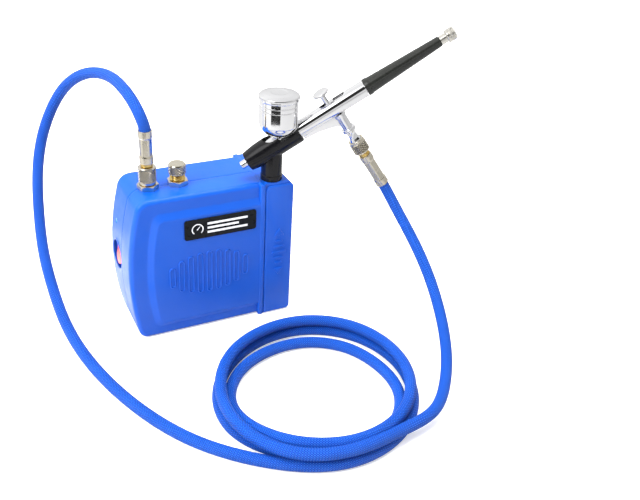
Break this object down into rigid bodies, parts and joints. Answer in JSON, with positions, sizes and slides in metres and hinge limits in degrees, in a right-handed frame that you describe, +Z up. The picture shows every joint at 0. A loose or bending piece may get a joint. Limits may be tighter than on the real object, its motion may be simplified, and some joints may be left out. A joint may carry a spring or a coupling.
{
  "type": "airbrush compressor",
  "caption": "Small bench airbrush compressor with a braided hose, capped spare outlet and a gravity-feed airbrush resting in its holder.",
  "frame": {"origin": "middle of the housing's footprint, at the height of the table", "axes": "+X along the housing towards the airbrush holder, +Y towards its back, +Z up"},
  "size_m": [0.2501, 0.271, 0.1985],
  "materials": {
    "blue_housing": "satin",
    "black_gloss": "gloss",
    "rocker_red": "gloss",
    "lens_green": "gloss",
    "black_moulding": "matte",
    "rubber_dark": "matte",
    "tube_clear": "satin",
    "steel": "satin",
    "magnet": "matte",
    "board": "satin",
    "wire_cover": "satin",
    "grey_moulding": "satin",
    "brass": "polished",
    "nickel": "polished",
    "chrome": "polished",
    "braid_blue": "satin",
    "black_anodised": "satin"
  },
  "bodies": {
    "compressor": {"air_tube": "tube_clear", "airbrush_holder": "black_gloss", "circuit_board": "board", "diaphragm": "rubber_dark", "front_shell": "blue_housing", "hose": "braid_blue", "hose_barb_compressor": "brass", "hose_ferrule_compressor": "nickel", "housing_screws": "steel", "indicator_light": "lens_green", "label_plate": "black_gloss", "manifold": "grey_moulding", "motor_can": "steel", "motor_end_cap": "black_moulding", "motor_magnets": "magnet", "outlet_fitting_hose": "brass", "outlet_fitting_spare": "brass", "outlet_hex_nuts": "nickel", "power_jack": "black_moulding", "pump_body": "grey_moulding", "pump_bracket": "steel", "pump_head": "grey_moulding", "pump_screws": "steel", "rear_shell": "blue_housing", "switch_body": "black_moulding", "valve_flaps": "rubber_dark", "valve_plate": "grey_moulding", "vibration_pads": "rubber_dark", "wires": "wire_cover"},
    "end_cover": {"end_cover": "blue_housing"},
    "rocker": {"switch_rocker": "rocker_red"},
    "motor_rotor": {"motor_armature": "steel", "motor_shaft": "steel", "crank": "brass"},
    "rod": {"connecting_rod": "grey_moulding", "crank_bearing": "steel"},
    "cap_washer": {"cap_seal": "rubber_dark"},
    "blank_cap": {"blank_cap": "nickel"},
    "compressor_nut": {"hose_nut_compressor": "nickel"},
    "airbrush": {"airbrush_body": "chrome", "spray_head": "chrome", "nozzle": "brass", "nozzle_cap": "chrome", "valve_casing": "chrome", "valve_spring": "steel", "spring_tube": "chrome", "needle_spring": "steel", "hose_barb_airbrush": "brass", "hose_ferrule_airbrush": "nickel", "hose_riser": "braid_blue"},
    "cup_lid": {"cup_lid": "chrome"},
    "handle": {"handle": "black_anodised"},
    "end_knob": {"end_knob": "nickel"},
    "airbrush_nut": {"hose_nut_airbrush": "nickel"},
    "valve_plunger": {"valve_plunger": "chrome"},
    "trigger": {"trigger": "chrome"},
    "needle": {"needle": "steel", "needle_guide": "chrome", "needle_chuck": "chrome"}
  },
  "joints": [
    {"name": "airbrush_slide", "type": "slide", "parent": "compressor", "child": "airbrush", "axis": [0.7997, -0.2293, 0.5548], "range_m": [0, 0.045]},
    {"name": "lid_lift", "type": "slide", "parent": "airbrush", "child": "cup_lid", "axis": [0, 0, 1], "range_m": [0, 0.015]},
    {"name": "trigger_press", "type": "slide", "parent": "airbrush", "child": "valve_plunger", "axis": [0.5334, -0.1529, -0.832], "range_m": [0, 0.002]},
    {"name": "trigger_pull", "type": "hinge", "parent": "valve_plunger", "child": "trigger", "pos_m": [0.08009, -0.02769, 0.14635], "axis": [0.2756, 0.9613, 0], "range_deg": [0, 18]},
    {"name": "needle_draw", "type": "slide", "parent": "airbrush", "child": "needle", "axis": [0.7997, -0.2293, 0.5548], "range_m": [0, 0.0025]},
    {"name": "handle_turn", "type": "hinge", "parent": "airbrush", "child": "handle", "pos_m": [0.10608, -0.03515, 0.16619], "axis": [0.7997, -0.2293, 0.5548], "continuous": true},
    {"name": "end_knob_turn", "type": "hinge", "parent": "handle", "child": "end_knob", "pos_m": [0.14447, -0.04615, 0.19282], "axis": [0.7997, -0.2293, 0.5548], "continuous": true},
    {"name": "airbrush_nut_turn", "type": "hinge", "parent": "airbrush", "child": "airbrush_nut", "pos_m": [0.09353, -0.03155, 0.12539], "axis": [0.5334, -0.1529, -0.832], "continuous": true},
    {"name": "compressor_nut_turn", "type": "hinge", "parent": "compressor", "child": "compressor_nut", "pos_m": [-0.0354, -0.0044, 0.1035], "axis": [0, 0, 1], "continuous": true},
    {"name": "cap_rise", "type": "slide", "parent": "compressor", "child": "cap_washer", "axis": [0, 0, 1], "range_m": [0, 0.00408]},
    {"name": "cap_turn", "type": "hinge", "parent": "cap_washer", "child": "blank_cap", "pos_m": [-0.0164, -0.0044, 0.1072], "axis": [0, 0, 1], "range_deg": [0, 1620]},
    {"name": "rocker_tilt", "type": "hinge", "parent": "compressor", "child": "rocker", "pos_m": [-0.0505, 0.0073, 0.05], "axis": [0, -1, 0], "range_deg": [0, 18]},
    {"name": "cover_slide", "type": "slide", "parent": "compressor", "child": "end_cover", "axis": [0, 0, 1], "range_m": [0, 0.008]},
    {"name": "motor_spin", "type": "hinge", "parent": "compressor", "child": "motor_rotor", "pos_m": [0, 0, 0.026], "axis": [1, 0, 0], "continuous": true},
    {"name": "rod_orbit", "type": "hinge", "parent": "motor_rotor", "child": "rod", "pos_m": [0.0062, 0, 0.0285], "axis": [1, 0, 0], "continuous": true}
  ],
  "couplings": [
    {"joint": "needle_draw", "follows": "trigger_pull", "m_per_rad": 0.00795},
    {"joint": "cap_turn", "follows": "cap_rise", "rad_per_m": 6927.6},
    {"joint": "rod_orbit", "follows": "motor_spin", "ratio": -1}
  ]
}
